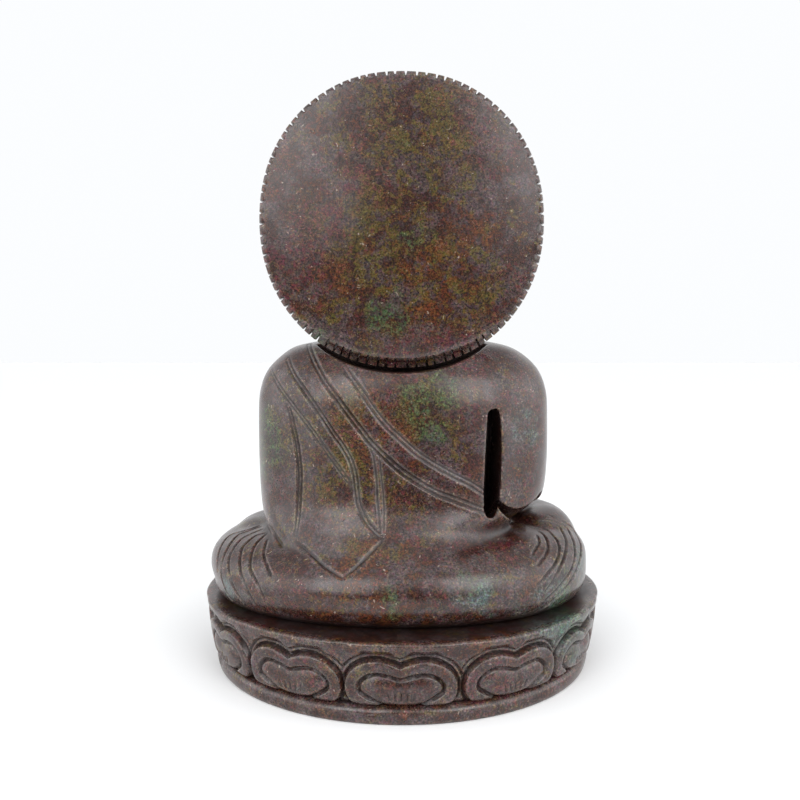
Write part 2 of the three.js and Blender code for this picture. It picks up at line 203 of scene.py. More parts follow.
def stack(rows, exponent, sides=150, levels=110):
    """Level sections (height, half width, back depth, front depth, shift) joined by smooth curves."""
    row = along(rows, np.linspace(0, 1, levels + 1))[:, :, None]
    x, y = oval(turns(sides), exponent)
    depth = np.where(y > 0, row[:, 2], row[:, 3])
    height = np.broadcast_to(row[:, 0], depth.shape)
    return skin(np.stack([row[:, 4] + row[:, 1] * x, y * depth, height], axis=-1))


def limb(stations, sides=40, steps=60):
    """Oval rings square to a smooth path through stations (x, y, z, half width, half thickness)."""
    t = 0.5 - 0.5 * np.cos(np.linspace(0, np.pi, steps + 1))
    row = along(stations, t)
    centre, half, thick = row[:, :3], row[:, 3:4], row[:, 4:5]
    ahead = unit(np.gradient(centre, axis=0))
    side = unit(np.cross(unit(np.array([0, 1, 0.3])), ahead))
    out = np.cross(ahead, side)
    cap = np.sqrt(np.maximum(1 - (2 * t - 1) ** 12, 0.02))[:, None, None]
    angle = turns(sides)[None, :, None]
    across = side[:, None] * half[:, None] * np.cos(angle)
    outward = out[:, None] * thick[:, None] * np.sin(angle)
    return skin(centre[:, None] + cap * (across + outward))


def egg(place, half, deep, tall, sides=24, levels=16):
    """Rings of a ball stretched to three half sizes."""
    tilt = np.pi * (np.arange(1, levels) / levels - 0.5)[:, None]
    turn = turns(sides)[None]
    x = half * np.cos(tilt) * np.cos(turn)
    y = deep * np.cos(tilt) * np.sin(turn)
    z = np.broadcast_to(tall * np.sin(tilt), x.shape)
    return skin(np.stack([x, y, z], axis=-1) + np.asarray(place, dtype=float))


print("tools ready")

# %% [markdown]
# ## The figure's big forms
# The lap, the back with both arms in it, the chest, the limbs and the neck are rounded forms that
# overlap. Fusing them on small cubes and softening them gives the flowing joins that a rasp and
# abrasive paper leave, which sharp intersections would not.

# %% Lap, back, chest and limbs
LAP = [
    [27.2, 71, 52, 47, 1],
    [30, 74.8, 56.5, 50, 1.2],
    [34.5, 76, 59.5, 52, 0.8],
    [40, 76.8, 60, 52, 1.4],
    [45.5, 75.6, 58, 48, 0.8],
    [50, 70, 54, 42, -0.5],
    [53, 61, 49, 34, -2],
    [55, 46, 43, 26, -2],
]
MANTLE = [
    [41, 50, 59, 24, 0.5],
    [47, 49.5, 55, 22, 2.5],
    [53, 48.5, 50.5, 19, 5],
    [58, 50.5, 46.5, 16, 5.5],
    [62, 54.5, 44.3, 14, 2.5],
    [67, 57.6, 42, 13, 0.2],
    [80, 59, 40.2, 13, -0.4],
    [98, 59.3, 38.8, 15, -0.4],
    [108, 58.8, 37.6, 15, -0.4],
    [116, 56, 34.5, 13, -0.4],
    [122, 50.5, 30, 11, -0.4],
    [126, 44, 25, 10, 0],
    [128.2, 34, 19, 8, 0],
]
CHEST = [
    [44, 40, 20, 28, 0],
    [58, 35, 20, 25.5, 0],
    [72, 33, 20, 23.5, 0],
    [86, 35, 20, 25, 0],
    [98, 38, 20, 26.5, 0],
    [108, 38, 18, 25.5, 0],
    [117, 33, 15, 21, 0],
    [125, 22, 11, 14, 0],
]


def arm(side, low):
    """An upper arm, from shoulder to elbow; side is 1 for the figure's left."""
    return limb([
        [side * 45, 3, 112, 11, 12],
        [side * 47.5, 3, 104, 11.2, 13],
        [side * 48.4, 4, 90, 10.6, 12.5],
        [side * 48.4, 5, 76, 10, 12],
        [side * 47.6, 5, low, 8.5, 10],
    ])


def forearm(side):
    """A forearm, from elbow to the wrist in the lap."""
    return limb([
        [side * 48, 4, 67, 8.5, 8.5],
        [side * 43, -10, 61.5, 8.2, 8.4],
        [side * 31, -25, 56.5, 7.4, 7],
        [side * 14, -33, 54, 5.6, 5.6],
    ])


def leg(side, rise):
    """A folded leg under the robe, from hip round the knee to the ankle."""
    return limb([
        [side * 50, 16, 40 + rise, 13, 13],
        [side * 59.5, -6, 40 + rise, 14.5, 14.5],
        [side * 47, -31, 39 + rise, 13.5, 13],
        [side * 18, -45, 38 + rise, 11.5, 11],
        [side * -14, -49, 37, 9, 9],
    ], sides=60)


RIGHT_LEG_RISE = 4.5
COARSE = 1.0
figure = mesh_object("figure", [
    stack(LAP, 2.15),
    stack(MANTLE, 2.6),
    stack(CHEST, 2.3),
    arm(-1, 66),
    arm(1, 58),
    forearm(-1),
    forearm(1),
    leg(1, 0),
    leg(-1, RIGHT_LEG_RISE),
    egg([0, 1, 136], 12.5, 13, 17),
])
fuse(figure, COARSE, 12)
print("points in the roughed-out figure:", len(figure.data.vertices))

# %% [markdown]
# ## The deep cuts
# The bare right arm is freed from the body by one narrow slot, with a hollow under the elbow.
# A curved cut along the halo's lower edge frees it from the back, so the disc reads as a thin
# plate although it is part of the block.

# %% Slot, elbow hollow and gap under the halo
HALO_HALF = 54.7
HALO_TALL = 57.2
HALO_SHIFT = 0.2
HALO_CENTRE = 174.9
HALO_FRONT = 21.5
HALO_BACK = 28.5
HALO_DOME = 3.0
HALO_EXPONENT = 2.1
GAP = 1.7


def halo_point(angle, share, depth):
    """A place on the disc: its oval outline times a share of the radius, at a depth."""
    c, s = oval(angle, HALO_EXPONENT)
    x = HALO_SHIFT + HALO_HALF * share * c
    z = HALO_CENTRE + HALO_TALL * share * s
    return np.stack(np.broadcast_arrays(x, depth, z), axis=-1)


def rim_gap():
    """A square-cornered sweep just outside the disc's lower edge, deepest at the middle."""
    angle = -np.pi / 2 + np.linspace(-1.05, 1.05, 41)
    out = HALO_BACK + HALO_DOME + 8
    deep = HALO_FRONT - 6
    grow = np.array([-9, -9, GAP, GAP]) / HALO_HALF
    depth = np.array([out, deep, deep, out])
    return skin(halo_point(angle[:, None], 1 + grow[None], depth[None]))


slot = limb([
    [-34.1, 36, 102, 2.1, 10],
    [-34.3, 34, 96, 2.8, 20],
    [-33.8, 33, 80, 3.2, 24],
    [-33.1, 33, 69, 3, 24],
    [-32.4, 34, 62, 2, 16],
])
hollow = limb([
    [-34.5, 33, 69, 0.9, 12],
    [-37, 32, 65.4, 1.6, 14],
    [-41, 30, 62.6, 2, 16],
    [-46, 26, 61.8, 1.9, 16],
    [-51, 20, 63.2, 1.4, 14],
    [-55, 14, 66.4, 0.6, 9],
])
for cutter in (slot, hollow, rim_gap()):
    combine(figure, mesh_object("cutter", [cutter]), "DIFFERENCE")
print("points after the deep cuts:", len(figure.data.vertices))

# %% [markdown]
# ## Head, hair and hands
# The face is calm and plain, with lowered lids: an egg whose front is raised or sunk by small
# hills, one for each feature. The hair is rows of small round curls, as the type has, and the
# hands lie in the lap with their thumbs touching.

# %% Head and face
HEAD = np.array([0.0, 0.0, 164.0])
HEAD_HALF = 21.0
HEAD_DEPTH = 24.0
HEAD_TALL = 26.5
HEAD_EXPONENT = 2.2
HEAD_ROUND = 0.86
JAW_TAPER = 0.16
HAIRLINE = 11.0
HAIR_THICK = 0.7


def face_relief(x, z):
    """How far the face stands out from the egg of the head: a sum of hills, by place and height."""
    side = np.abs(x)
    nose = 4.4 * bell(x, 2.3) * ease(8, -5, z) * ease(-8.3, -6.3, z)
    wings = 1.5 * bell(side - 2.7, 1.3) * bell(z + 6.2, 1.5)
    bridge = 1.6 * bell(x, 2.2) * bell(z - 4, 5)
    brow = 1.3 * bell(side - 6.5, 5.5) * bell(z - 7.2 + 0.04 * (side - 6) ** 2, 1.3)
    socket = -2.2 * bell(side - 7.2, 4) * bell(z - 3, 2.4)
    lid = 2.2 * bell(side - 7.3, 3.8) * bell(z - 0.4, 2.0)
    slit_height = -0.9 - 0.8 * (1 - ((side - 7.3) / 4.3) ** 2)
    slit = -1.0 * bell(z - slit_height, 0.45) * ease(4.6, 3.6, np.abs(side - 7.3))
    lips = 1.9 * bell(x, 4.4) * (bell(z + 11.2, 1.2) + 1.1 * bell(z + 14.1, 1.3))
    mouth = -1.2 * bell(z + 12.6 - 0.02 * x * x, 0.45) * ease(6.2, 4.4, side)
    lip_groove = -0.5 * bell(x, 0.8) * bell(z + 9.3, 1.0)
    chin = 2.0 * bell(x, 5) * bell(z + 20, 3)
    cheek = 1.1 * bell(side - 10, 5) * bell(z + 8, 6)
    mark = 0.8 * bell(x, 0.9) * bell(z - 8.6, 0.9)
    parts = (wings, bridge, brow, socket, lid, slit, lips, mouth, lip_groove, chin, cheek, mark)
    return nose + sum(parts)


def head_point(turn, z, proud):
    """A place on the head, by turn about its axis, height above its centre, and how far out."""
    c, s = oval(turn, HEAD_EXPONENT)
    level = np.sqrt(np.maximum(1 - (z / HEAD_TALL) ** 2, 0)) ** HEAD_ROUND
    jaw = 1 - JAW_TAPER * ease(0, -0.9 * HEAD_TALL, z)
    front = ease(0.25, 0.8, -s) * ease(HAIRLINE + 1, HAIRLINE - 1, z)
    x = (HEAD_HALF * jaw * level + proud) * c
    y = (HEAD_DEPTH * level + proud) * s - front * face_relief(HEAD_HALF * jaw * level * c, z)
    return np.stack(np.broadcast_arrays(x, y, z + 0.5 * proud), axis=-1) + HEAD


def hair_edge(turn):
    """The lowest height of the hair: level over the brow, and down behind the ears to the nape."""
    back = ease(-0.25, 0.35, np.sin(turn))
    return HAIRLINE - 24 * back


tilt = np.pi * (np.arange(1, 200) / 200 - 0.5)[:, None]
turn = turns(240)[None]
height = HEAD_TALL * np.sin(tilt)
hair = HAIR_THICK * ease(-0.4, 0.4, height - hair_edge(turn))
head = skin(head_point(turn, height, hair))
print("widest part of the head in mm:", round(2 * HEAD_HALF))

# %% Curls, knot of hair and ears
KNOT = np.array([0.0, 3.0, 191.0])
KNOT_HALF = 10.0
KNOT_TALL = 11.0
CURL = 1.75
CURL_ROW = 1.72 * CURL


def curl_rows(levels, radius, offset):
    """Turns and heights of curls in level rows, every second row moved by half a curl."""
    counts = np.maximum((2 * np.pi * radius / (2 * CURL)).astype(int), 1)
    rows = [(np.arange(n) + 0.5 * (row % 2)) / n * 2 * np.pi for row, n in enumerate(counts)]
    return np.concatenate(rows) + offset, np.repeat(levels, counts)


def balls(centres):
    """A small ball at each place."""
    return [egg(centre, CURL, CURL, CURL, 12, 8) for centre in centres]


level = np.arange(-11.4, HEAD_TALL - 1.5, CURL_ROW)
radius = HEAD_HALF * np.sqrt(1 - (level / HEAD_TALL) ** 2) ** HEAD_ROUND
turn, level = curl_rows(level, radius, 0.1)
shown = level > hair_edge(turn) + 0.8
head_curls = head_point(turn[shown], level[shown], HAIR_THICK)
level = np.arange(-3.0, KNOT_TALL, CURL_ROW)
radius = KNOT_HALF * np.sqrt(np.maximum(1 - (level / KNOT_TALL) ** 2, 0.01))
turn, level = curl_rows(level, radius, 0.3)
radius = KNOT_HALF * np.sqrt(np.maximum(1 - (level / KNOT_TALL) ** 2, 0))
knot_curls = KNOT + np.stack([radius * np.cos(turn), radius * np.sin(turn), level], axis=-1)
curls = balls(np.concatenate([head_curls, knot_curls]))
knot = egg(KNOT, KNOT_HALF, KNOT_HALF, KNOT_TALL, 48, 32)


def ear(side):
    """A long ear with a rolled rim."""
    return [
        limb([
            [side * 20.6, 1, 170, 2.2, 4],
            [side * 21.4, 2, 163, 1.9, 3.6],
            [side * 20.4, 1.5, 154, 1.7, 2.4],
            [side * 18.8, 0, 144, 2.1, 2.8],
        ]),
        limb([
            [side * 21.6, -1.6, 165, 0.8, 0.8],
            [side * 22.0, -1.6, 169, 0.8, 0.8],
            [side * 22.4, 2, 171.5, 0.8, 0.8],
            [side * 23.0, 4.6, 167, 0.8, 0.8],
            [side * 22.6, 4.2, 160, 0.8, 0.8],
            [side * 21.4, 2.6, 154, 0.8, 0.8],
        ], 12, 40),
    ]


print("curls of hair:", len(curls))

# %% Hands in the lap
HAND = 55.5
FINGERS = 4


def hand(side, z):
    """An open palm with four fingers that point to the other side."""
    palm = limb([
        [side * 23, -30, z + 1, 3.6, 5.6],
        [side * 13, -35, z + 0.2, 3.6, 7.4],
        [side * 3, -37, z - 0.2, 3.0, 7.6],
        [side * -2, -37.5, z - 0.2, 2.2, 7.2],
    ])
    fingers = []
    for n in range(FINGERS):
        y = -32.2 - 3.5 * n
        reach = 16.5 - 1.1 * (n - 1.2) ** 2
        fingers.append(limb([
            [side * 4, y, z + 0.9, 2.0, 1.9],
            [side * -5, y - 0.4, z + 1.5, 1.9, 1.85],
            [side * -(reach - 3), y + 0.2, z + 1.3, 1.75, 1.75],
            [side * -reach, y + 0.8, z + 0.9, 1.5, 1.5],
        ], 16, 24))
    return [palm, *fingers]


thumbs = limb([
    [15, -37, HAND + 2.4, 2.3, 2.5],
    [8, -40, HAND + 6, 2.1, 2.3],
    [2, -41, HAND + 7.8, 1.9, 2.0],
    [0, -41, HAND + 7.7, 1.5, 1.6],
    [-2, -41, HAND + 7.8, 1.9, 2.0],
    [-8, -40, HAND + 6, 2.1, 2.3],
    [-15, -37, HAND + 2.4, 2.3, 2.5],
], 16, 60)
hands = [*hand(-1, HAND), *hand(1, HAND - 4.5), thumbs]

# %% [markdown]
# ## One skin for the whole figure
# The head, curls, ears and hands are melted into the body on finer cubes. Only a little softening
# follows, so that the features stay as crisp as a small chisel leaves them.

# %% Fusing the figure
FINE = 0.5
fine_parts = mesh_object("fine parts", [head, knot, *curls, *ear(-1), *ear(1), *hands])
with bpy.context.temp_override(active_object=figure, selected_editable_objects=[figure, fine_parts]):
    bpy.ops.object.join()
fuse(figure, FINE, 2)
print("points in the fused figure:", len(figure.data.vertices))

# %% [markdown]
# ## Folds of the robe
# The folds are incised lines, most of them double with a thin ridge between. Each is laid on the
# surface by dropping points square onto it from behind or in front, and the skin near it is
# pressed in by an amount that depends only on the distance to the line. Before that the skin is
# divided more finely near the lines, as only there small facets are needed.

# %% Lines of the robe
# Each line: places (x, z), half width, depth and the space between its two grooves (0 for one)
BACK_LINES = {
    "upper hem": ([
        (37.5, 126.8), (33.8, 120.6), (29.5, 113.8), (24.6, 107.2), (20, 101.2), (14.6, 94.4),
        (10.8, 89.7), (5.5, 84.8), (0.3, 80.4), (-5.7, 76.4), (-12.4, 72.7), (-19.2, 70.1), (-24.5, 68),
        (-31.5, 65.2)], 0.5, 0.95, 1.5),
    "neck hem": ([
        (22.3, 119.2), (19, 114.7), (14.7, 108.7), (10.9, 103.1), (7.1, 98.3), (1.8, 93.1), (-5, 87.1),
        (-12.5, 82.2), (-20, 78.1), (-25.3, 75.4), (-31.5, 71.2)], 0.45, 0.6, 1.5),
    "shoulder fold": ([
        (45.2, 121.2), (42.6, 117), (38.4, 111.3), (34.1, 105.8), (30, 100.2), (26.1, 94.6), (22.1, 89.2),
        (19.1, 84.1), (17.5, 78.9), (16.7, 73.1), (15.9, 68.1), (13.6, 64), (10.6, 60.5), (7.6, 58.2)
    ], 0.45, 0.75, 1.3),
    "outer fold": ([
        (52, 116.2), (47.7, 111.1), (43, 105.5), (38.8, 100.7), (34.7, 95.9), (29.9, 89.7), (26, 84.6),
        (22.1, 79.6), (18.6, 74.9), (16.3, 70.2)], 0.45, 0.5, 1.1),
    "sleeve fold": ([
        (43.4, 103.6), (42, 99.1), (40.7, 93.8), (39.5, 88.5), (38.6, 82.4), (38.3, 76.5), (38.4, 70.6),
        (38.6, 65.4), (38.9, 61.3), (39.1, 57.2)], 0.45, 0.75, 1.3),
    "hanging fold": ([
        (12.7, 90.1), (10.8, 86.4), (10.1, 82.6), (9.4, 76.8), (9.1, 70.2), (8.4, 64.1), (7.6, 58.2)
    ], 0.45, 0.6, 0),
    "hanging fold's edge": ([
        (9.3, 89.1), (8.2, 84.2), (7.8, 79.8), (7, 72.5), (6.6, 65.4), (6.7, 59.5)], 0.4, 0.4, 0),
    "flap hem, left": ([(39.1, 54.8), (34.2, 52.6), (28.5, 49.6), (24.5, 47.8), (20.7, 46.2)], 0.6, 0.7, 0),
    "flap hem, right": ([(20.7, 46.2), (18, 48), (13.9, 51), (10.4, 53.9), (6.8, 57)], 0.6, 0.7, 0),
    "sleeve end": ([(54, 58.7), (53.2, 57.9), (49.5, 55.5), (46.9, 53.7), (43.8, 52)], 0.6, 0.9, 0),
}
LEFT_PLEATS = [
    [(51.3, 52.5), (51.3, 51.3), (50.8, 49.3), (48.6, 47), (46.4, 44.3)],
    [(52.3, 53.4), (54.5, 52), (55.6, 50.9), (55.9, 49.2), (55.3, 45.4), (52.1, 41.6), (48.8, 36.2)],
    [(53.4, 53.1), (57, 52.2), (59.2, 51), (60.8, 49.3), (60.2, 46.3), (58.7, 42.6), (56.1, 38.3),
     (53.2, 33.2)],
    [(55.5, 53.2), (60.2, 51.8), (63.4, 50.2), (65.4, 47), (65, 43.6), (63.2, 39.4), (60.5, 35.1),
     (57.6, 31.5)],
    [(57.1, 53.1), (62.4, 51.7), (66.2, 50.1), (68, 46.6), (68.6, 42.1), (67.7, 37.1), (65.1, 32.1),
     (61.5, 29)],
    [(58.1, 53), (65.1, 51.1), (70, 49.2), (71.5, 47.1), (71.3, 44), (70.5, 40)],
]
RIGHT_PLEATS = [
    [(-51.7, 53.5), (-51.5, 52.5), (-49.1, 51.3), (-47.3, 50.2)],
    [(-53.7, 53.7), (-55, 52.8), (-54.7, 51.2), (-52.9, 49.4), (-48.6, 47.1)],
    [(-55.9, 53.7), (-58, 53.1), (-59.5, 51.2), (-59, 49.2), (-56.5, 46.6), (-52.7, 44), (-48.8, 41.1)],
    [(-55.2, 55.7), (-59.3, 55.5), (-63.3, 53.4), (-63.8, 50.9), (-62.5, 49.3), (-60.2, 46.8), (-57.6, 44.2),
     (-54.8, 41), (-50.8, 37.8)],
    [(-57, 56.4), (-62, 55.6), (-66.9, 52.2), (-67.4, 49.8), (-66.2, 46.7), (-63.6, 42.8), (-59.9, 40),
     (-55.8, 37.2), (-51.6, 34.8)],
    [(-60, 57), (-66.5, 54), (-70.8, 50.3), (-71, 47.6), (-69, 45), (-66.2, 41.8), (-62.5, 38.4),
     (-57.6, 35.4), (-53.4, 32.9), (-49.6, 31)],
]
FRONT_LINES = {
    "chest hem": ([(30, 124), (18, 112), (2, 98), (-14, 84), (-26, 73)], 0.5, 0.8, 1.5),
    "inner hem": ([(36, 120), (26, 106), (12, 90), (0, 78), (-10, 70)], 0.45, 0.5, 1.2),
    "sleeve fold, upper": ([(55, 104), (50, 94), (43, 84), (37, 76)], 0.45, 0.6, 0),
    "sleeve fold, lower": ([(57, 92), (52, 82), (46, 73), (41, 66)], 0.45, 0.6, 0),
    "sleeve hem": ([(37, 62), (39, 56), (43, 51), (49, 48)], 0.55, 0.8, 0),
}
PLEAT_HALF = 0.45
PLEAT_DEEP = 0.8
LAP_FOLDS = 5
LAP_FOLD_DROP = 3.4
for n in range(LAP_FOLDS):
    drop = LAP_FOLD_DROP * n
    FRONT_LINES[f"lap fold {n + 1}"] = (
        [(-40 + n, 47 - drop), (-18, 41.5 - drop), (4, 39.5 - drop), (26, 41 - drop), (44 - n, 45 - drop)],
        0.5, 0.65, 0)
print("lines on the back:", len(BACK_LINES) + len(LEFT_PLEATS) + len(RIGHT_PLEATS))


# %% Laying the lines on the surface
SAMPLE = 0.4


def spaced(line, step=SAMPLE):
    """Places a fixed step apart on a smooth curve through a line's places."""
    dense = along(line, np.linspace(0, 1, 40 * len(line)))
    length = np.concatenate([[0], np.cumsum(np.linalg.norm(np.diff(dense, axis=0), axis=1))])
    wanted = np.linspace(0, length[-1], max(int(length[-1] / step), 4))
    return np.stack([np.interp(wanted, length, dense[:, k]) for k in range(2)], axis=-1)


def lay(tree, line, side):
    """The line's places dropped square onto the surface from behind (1) or from in front (-1)."""
    away = Vector((0, -side, 0))
    hits = [tree.ray_cast(Vector((x, side * 200, z)), away)[0] for x, z in spaced(line)]
    return np.array([hit[:] for hit in hits if hit is not None])


def lay_all(thing):
    """Every line as (points in space, half width, depth, space between the grooves)."""
    graph = bpy.context.evaluated_depsgraph_get()
    tree = BVHTree.FromObject(thing, graph)
    laid = [(lay(tree, line, 1), half, deep, space) for line, half, deep, space in BACK_LINES.values()]
    laid += [(lay(tree, line, 1), PLEAT_HALF, PLEAT_DEEP, 0) for line in LEFT_PLEATS + RIGHT_PLEATS]
    laid += [(lay(tree, line, -1), half, deep, space) for line, half, deep, space in FRONT_LINES.values()]
    return laid


CHUNK = 12
LINE_REACH = 3.0
LIP_SHARE = 0.12


def near_lines(points, laid, reach):
    """For every point near a line: which point, the line's number, its distance and share along it."""
    found = []
    for number, (line, _, _, _) in enumerate(laid):
        for start in range(0, len(line) - 1, CHUNK):
            part = line[start:start + CHUNK + 1]
            low, high = part.min(axis=0) - reach, part.max(axis=0) + reach
            near = np.flatnonzero(np.all((points > low) & (points < high), axis=1))
            if len(near) == 0:
                continue
            begin, step = part[:-1], np.diff(part, axis=0)
            apart = points[near][:, None] - begin[None]
            share = np.clip((apart * step).sum(-1) / np.maximum((step ** 2).sum(-1), 1e-9), 0, 1)
            distance = np.linalg.norm(apart - share[..., None] * step, axis=-1)
            nearest = distance.argmin(axis=1)
            rows = np.arange(len(near))
            place = (start + nearest + share[rows, nearest]) / (len(line) - 1)
            numbers = np.full(len(near), number)
            found.append(np.stack([near, numbers, distance[rows, nearest], place], axis=-1))
    rows = np.concatenate(found)
    rows = rows[np.lexsort((rows[:, 2], rows[:, 1], rows[:, 0]))]
    nearest = np.ones(len(rows), dtype=bool)
    nearest[1:] = np.any(rows[1:, :2] != rows[:-1, :2], axis=1)
    return rows[nearest]


def line_marks(points, laid):
    """Depth, raised lip, groove mask and edge mask at every point; where lines meet the deeper wins."""
    rows = near_lines(points, laid, LINE_REACH)
    which, number = rows[:, 0].astype(int), rows[:, 1].astype(int)
    half, deep, space = (np.array([line[k] for line in laid])[number] for k in (1, 2, 3))
    distance, share = rows[:, 2], rows[:, 3]
    worn = 0.86 + 0.14 * np.sin(23 * share + 5.0 * number)
    taper = np.sin(np.pi * np.clip(share, 0.004, 0.996)) ** 0.35 * worn
    off = np.abs(distance - space / 2)
    beside = bell(distance - space / 2 - 2.1 * half, 0.9 * half)
    marks = []
    for value in (deep * bell(off, half), LIP_SHARE * deep * beside, bell(off, 0.9 * half), beside):
        mark = np.zeros(len(points))
        np.maximum.at(mark, which, taper * value)
        marks.append(mark)
    return marks


laid = lay_all(figure)
print("length of all lines in mm:", round(sum(len(line[0]) for line in laid) * SAMPLE))

# %% [markdown]
# ## The halo
# The halo is a thin upright disc with a softly domed back. Its rim has close notches filed by
# eye, so their spacing, width and depth vary a little. The lower edge is bevelled, and there the
# notches show as short dark ticks.

# %% Halo with a notched rim
NOTCHES = 96
PER_NOTCH = 10
NOTCH_DEPTH = 1.3
NOTCH_HALF = 0.28
BEVEL_DROP = 1.7
BEVEL_INSET = 0.026
WEAR = 0.10


def waves(values, count, seed, low, high):
    """A sum of sines of seeded strength, from low to high waves per turn, about 1 at its largest."""
    dice = np.random.default_rng(seed)
    total = np.zeros_like(values)
    for _ in range(count):
        rate = dice.integers(low, high + 1)
        total += dice.uniform(0.4, 1) * np.sin(rate * values + dice.uniform(0, 2 * np.pi))
    return total / (0.6 * count)


dice = np.random.default_rng(7)
even = (np.arange(NOTCHES) + 0.5) / NOTCHES * 2 * np.pi
centres = (np.arange(NOTCHES) + 0.5 + dice.uniform(-0.13, 0.13, NOTCHES)) / NOTCHES * 2 * np.pi
share = (np.arange(PER_NOTCH) + 0.5) / PER_NOTCH * 2 - 1
spread = 0.35 * share + 0.65 * share ** 3
offset = spread[None] * np.pi / NOTCHES
angle = (even[:, None] + offset).ravel()
owner = np.repeat(np.arange(NOTCHES), PER_NOTCH)
arc = np.abs(angle - even[owner]) * HALO_HALF
angle = angle + (centres - even)[owner]
half = (NOTCH_HALF * dice.uniform(0.75, 1.3, NOTCHES))[owner]
cut = (NOTCH_DEPTH * dice.uniform(0.6, 1.2, NOTCHES))[owner] * (1 - ease(0.7 * half, 1.5 * half, arc))
order = np.argsort(-angle)
angle, cut = angle[order], cut[order]
outline = 1 + 0.0035 * waves(angle, 6, 3, 2, 9) - 0.004 * bell(angle - np.pi / 2, 0.2)
bevel = ease(0.62, 0.95, -np.sin(angle))

# Share of the radius, depth, and how much of the bevel's drop, bevel's inset and notch it takes
profile = [
    *([share, HALO_FRONT, 0, 0, 0] for share in (0.06, 0.4, 0.7, 0.835)),
    [0.85, HALO_FRONT + 0.15, 0, 0, 0],
    [0.87, HALO_FRONT + 0.9, 0, 0, 0],
    [0.93, HALO_FRONT + 0.9, 0, 0, 0],
    [0.965, HALO_FRONT + 0.9, 0, 0, 0.2],
    [0.985, HALO_FRONT + 1.0, 0, 0, 1],
    [0.996, HALO_FRONT + 1.5, 0, 0, 1],
    [1, HALO_FRONT + 2.6, 0, 0, 1],
    [1, HALO_BACK - 2.4, 0.5, 0, 1],
    [0.998, HALO_BACK - 1.2, 0.9, 0, 1],
    [0.991, HALO_BACK - 0.5, 1, 0.1, 1],
    [0.981, HALO_BACK - 0.12, 0.75, 0.5, 0.8],
    [0.972, HALO_BACK, 0.3, 0.85, 0.45],
    [0.962, HALO_BACK + 0.06, 0.06, 1, 0.1],
    [0.95, HALO_BACK + 0.14, 0, 1, 0],
]
dome_from = len(profile) - 1
shares = np.concatenate([np.array([0.93, 0.9, 0.86, 0.81]), np.linspace(0.75, 0.05, 14)])
profile += [[s, HALO_BACK + HALO_DOME * (1 - (s / 0.972) ** 2), 0, 1, 0] for s in shares]
profile = np.array(profile)[:, :, None]
inset = BEVEL_INSET * bevel * ease(0.7, 0.95, profile[:, 0]) * (profile[:, 3] > 0)
long_cut = cut * (1 + 0.5 * bevel)
reach = profile[:, 0] * outline - inset - long_cut / HALO_HALF * profile[:, 4]
deep = profile[:, 1] - BEVEL_DROP * bevel * profile[:, 2]
worn = WEAR * (waves(angle, 5, 11, 1, 6)[None] + np.sin(9 * profile[:, 0])) * ease(0.98, 0.8, profile[:, 0])
on_dome = np.arange(len(profile))[:, None] >= dome_from
deep = deep + np.where(on_dome, worn * ease(0.05, 0.4, profile[:, 0]), 0)
halo = skin(halo_point(angle[None], reach, deep))
print("notches in the rim:", NOTCHES)

# %% [markdown]
# ## The lotus base
# Twelve broad petals stand on a plain ring. Each has two lobes, a rounded border, a sunk channel,
# a swelling middle with short cuts at its foot, and a thin line that follows its outline outside.
# All of that depends on one number, the distance inwards from the petal's outline, so the relief
# is worked out from that distance and wrapped round the oval wall.

# %% One petal as a distance from its outline
BASE_HALF = 80.7
BASE_DEPTH = 67.3
FOOT_HALF = 75.0
FOOT_DEPTH = 65.4
BASE_HEIGHT = 27.7
RING_HEIGHT = 6.3
PETALS = 12
PETAL_HALF = 19.8
PER_PETAL = 96
GROUND = -1.5
TICKS = 5
TICK_APART = 1.7
HALF_OUTLINE = [(0, 12.7), (1.6, 13.5), (4.2, 14.4), (7.4, 15), (10.6, 14.7), (13.8, 13.4), (16.6, 11.2),
                (18.4, 8.6), (19, 6), (18.8, 3.4), (17.6, 1), (15.2, -1), (11.5, -3.2), (7, -5.5), (2.5, -7)]


def petal_outline():
    """The closed outline: the right half through its places, and its mirror image."""
    right = along(HALF_OUTLINE, np.linspace(0, 1, 90))
    return np.concatenate([right, (right * [-1, 1])[::-1]])


def inwards(across, height):
    """Distance from the petal's outline in mm, positive inside: nearest edge, and the even-odd rule."""
    outline = petal_outline()
    start, step = outline, np.roll(outline, -1, axis=0) - outline
    point = np.stack([across.ravel(), height.ravel()], axis=-1)
    apart = point[:, None] - start[None]
    share = np.clip((apart * step).sum(-1) / np.maximum((step ** 2).sum(-1), 1e-9), 0, 1)
    distance = np.linalg.norm(apart - share[..., None] * step, axis=-1).min(axis=1)
    above = (start[None, :, 1] > point[:, 1:]) != ((start + step)[None, :, 1] > point[:, 1:])
    rise = np.where(np.abs(step[:, 1]) < 1e-9, 1e-9, step[:, 1])
    crossing = start[None, :, 0] + step[:, 0] * (point[:, 1:] - start[None, :, 1]) / rise
    inside = (above & (point[:, :1] < crossing)).sum(axis=1) % 2 == 1
    return np.where(inside, distance, -distance).reshape(across.shape)


def petal_relief(across, height):
    """How far the wall stands out at a place on a petal, from the distance to its outline."""
    d = inwards(across, height)
    inner = d + 0.8 * bell(across, 4.5) * ease(3, 7, height)
    border = (0.1 - GROUND) * ease(-0.3, 0.6, d) + 0.3 * bell(d - 2.2, 1.7)
    channel = -1.2 * bell(inner - 4.8, 0.6)
    middle = 0.9 * ease(5, 9, inner) - 0.35 * ease(4.4, 5.2, inner)
    groove = -1.0 * bell(d + 0.55, 0.45) - 0.8 * bell(d + 2.2, 0.45) * ease(3, 8, height)
    ticks = 0
    for n in range(TICKS):
        leaning = TICK_APART * (n - 2) + 0.12 * (n - 2) * height
        ticks = ticks - (0.45 * bell(across - leaning, 0.3)
                         * ease(1.2, 2, height) * ease(5 - 0.4 * (n % 2), 4, height))
    return GROUND + border + channel + middle + groove + ticks


